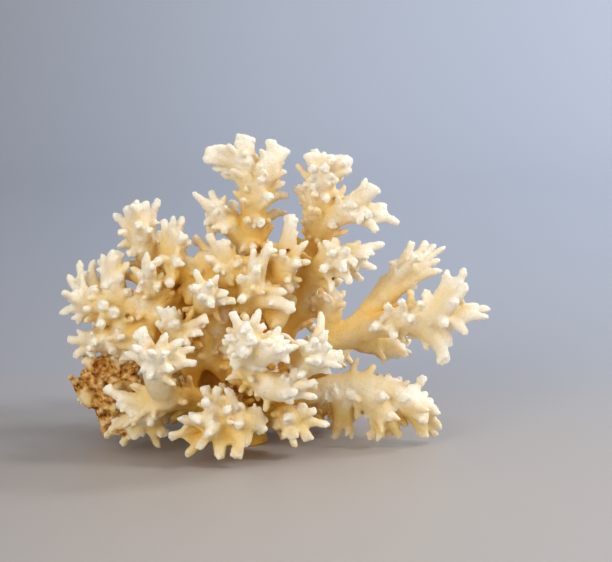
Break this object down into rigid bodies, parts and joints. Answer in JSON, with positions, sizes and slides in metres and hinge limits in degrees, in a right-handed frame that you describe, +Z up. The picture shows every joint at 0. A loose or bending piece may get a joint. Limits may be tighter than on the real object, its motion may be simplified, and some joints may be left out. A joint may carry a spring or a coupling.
{
  "type": "branching coral",
  "caption": "Dried branching coral colony with short knobbly fingers, cut off flat below so that it stands.",
  "frame": {"origin": "centre of the flat cut under the holdfast, on the surface that the colony stands on", "axes": "+Z up; +X along the colony's width, towards the long arm; the pictured side faces -Y"},
  "size_m": [0.1477, 0.0994, 0.1085],
  "materials": {
    "cream_coral": "matt, chalky, pale cream with near-white tips",
    "golden_coral": "matt, chalky, golden tan in the hollows",
    "browned_coral": "matt, stained brown by old growth"
  },
  "bodies": {
    "root": {"back_east": "cream_coral", "back_left": "cream_coral", "back_left_low": "cream_coral", "back_left_upper": "cream_coral", "back_low": "cream_coral", "back_low_east": "cream_coral", "back_low_west": "cream_coral", "back_right": "cream_coral", "back_right_low": "cream_coral", "back_stem": "cream_coral", "back_west": "cream_coral", "centre_upper": "cream_coral", "crown_back": "cream_coral", "crown_stem": "cream_coral", "east_back": "cream_coral", "east_shoulder": "cream_coral", "east_stem": "cream_coral", "front_left_stem": "cream_coral", "front_left_upper": "cream_coral", "front_low": "cream_coral", "front_mid": "cream_coral", "front_star": "cream_coral", "front_upper_left": "cream_coral", "holdfast": "golden_coral", "left_back": "cream_coral", "left_crown": "cream_coral", "left_nub": "cream_coral", "left_stem": "cream_coral", "low_front_east": "cream_coral", "low_left_stem": "browned_coral", "low_right_stem": "cream_coral", "mid_pillar": "cream_coral", "mid_west": "cream_coral", "right_arm": "cream_coral", "right_back": "cream_coral", "right_front": "cream_coral", "right_front_low": "cream_coral", "right_upper": "cream_coral", "upper_left_stem": "cream_coral"}
  },
  "joints": []
}
